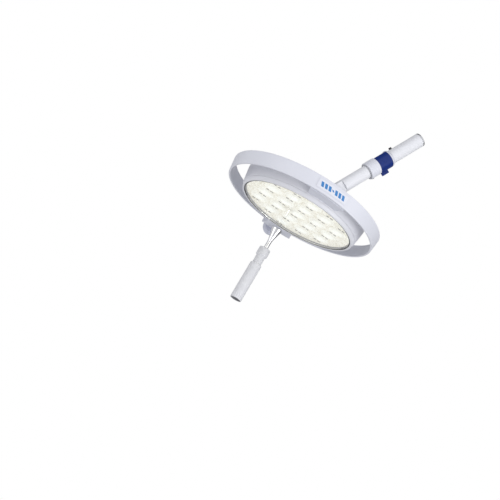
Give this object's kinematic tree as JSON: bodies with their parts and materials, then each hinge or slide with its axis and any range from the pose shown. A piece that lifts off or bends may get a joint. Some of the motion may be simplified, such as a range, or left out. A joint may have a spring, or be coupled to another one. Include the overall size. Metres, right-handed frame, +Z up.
{
  "type": "dental operating light",
  "caption": "Tilting ring-shaped operating light head on a swivel stem and arm end, with a blue snap clip, control dial and pull-off grip.",
  "frame": {"origin": "centre of the arm tube's top end, over the end plug's cable bore", "axes": "+Z up along the stem and arm tube, +X from the stem across the lamp head towards the handle"},
  "size_m": [0.3753, 0.3216, 0.4254],
  "materials": {
    "white_powder_coat": "white semi-gloss powder coat on aluminium",
    "white_tube_paint": "white baked enamel on steel tube",
    "grey_casting": "pale grey paint on die-cast aluminium",
    "white_shell": "white moulded casing, satin",
    "grey_shell": "pale grey moulded plastic, satin",
    "blue_clip": "blue moulded plastic, glossy",
    "steel": "machined steel",
    "dark_steel": "black-oxide steel",
    "polished_chrome": "polished chrome plate",
    "bearing_bronze": "machined bearing bronze",
    "dark_plastic": "black moulded plastic",
    "grip_plastic": "white heat-proof moulded plastic, fine grain",
    "seal_rubber": "black rubber",
    "clear_cover": "clear hardened cover glass",
    "lens_plastic": "clear moulded lenses over warm white light",
    "sink_aluminium": "bare cast aluminium",
    "board_green": "glass-fibre circuit board"
  },
  "bodies": {
    "arm": {"arm_tube": "white_tube_paint", "arm_end_plug": "steel", "arm_sleeve": "white_powder_coat", "lower_bush": "bearing_bronze", "upper_bush": "bearing_bronze", "lock_segment": "steel", "bush_screw": "dark_steel", "contact_socket": "dark_plastic", "arm_lead": "seal_rubber"},
    "clip": {"lock_clip": "blue_clip"},
    "brake": {"brake_screw": "dark_steel"},
    "stem": {"stem_tube": "white_tube_paint", "stem_tongue": "white_tube_paint", "tongue_pin": "steel", "contact_plug": "bearing_bronze", "stem_lead": "seal_rubber", "thrust_washer": "dark_plastic"},
    "head": {"outer_ring": "white_powder_coat", "joint_block": "grey_casting", "handle_bracket": "grey_casting", "head_wall": "white_shell", "back_cover": "white_shell", "bezel": "white_shell", "pod_plate": "white_shell", "control_pod": "grey_shell", "label_plate": "grey_shell", "tilt_axle": "steel", "axle_nut": "steel", "ring_screw_1": "steel", "ring_screw_2": "steel", "cover_screw_1": "steel", "cover_screw_2": "steel", "cover_screw_3": "steel", "cover_screw_4": "steel", "neck_nut": "steel", "dial_encoder": "steel", "handle_neck": "polished_chrome", "inner_washer": "dark_plastic", "outer_washer": "dark_plastic", "face_seal": "seal_rubber", "latch_ring": "seal_rubber", "head_lead": "seal_rubber", "cover_glass": "clear_cover", "lens_plate": "lens_plastic", "heat_sink": "sink_aluminium", "led_board": "board_green", "driver_board": "board_green"},
    "grip": {"grip_sleeve": "grip_plastic", "grip_liner": "grip_plastic", "grip_end_cap": "dark_plastic"},
    "dial": {"dimmer_knob": "white_shell", "dial_shaft": "steel"}
  },
  "joints": [
    {"name": "clip_turn", "type": "hinge", "parent": "arm", "child": "clip", "pos_m": [0, 0, -0.101], "axis": [0, 0, 1], "range_deg": [-78, 0]},
    {"name": "brake_turn", "type": "hinge", "parent": "arm", "child": "brake", "pos_m": [0, 0, -0.0695], "axis": [0, 1, 0], "range_deg": [-180, 180]},
    {"name": "stem_swivel", "type": "hinge", "parent": "arm", "child": "stem", "pos_m": [0, 0, -0.14], "axis": [0, 0, 1], "continuous": true},
    {"name": "head_tilt", "type": "hinge", "parent": "stem", "child": "head", "pos_m": [0, 0, -0.24], "axis": [1, 0, 0], "range_deg": [-18.2, 71.8]},
    {"name": "grip_pull", "type": "slide", "parent": "head", "child": "grip", "axis": [0, -0.4509, -0.8926], "range_m": [0, 0.066]},
    {"name": "dial_turn", "type": "hinge", "parent": "head", "child": "dial", "pos_m": [0.34603, -0.00977, -0.25075], "axis": [0.9978, -0.0592, 0.0299], "range_deg": [0, 270]}
  ]
}
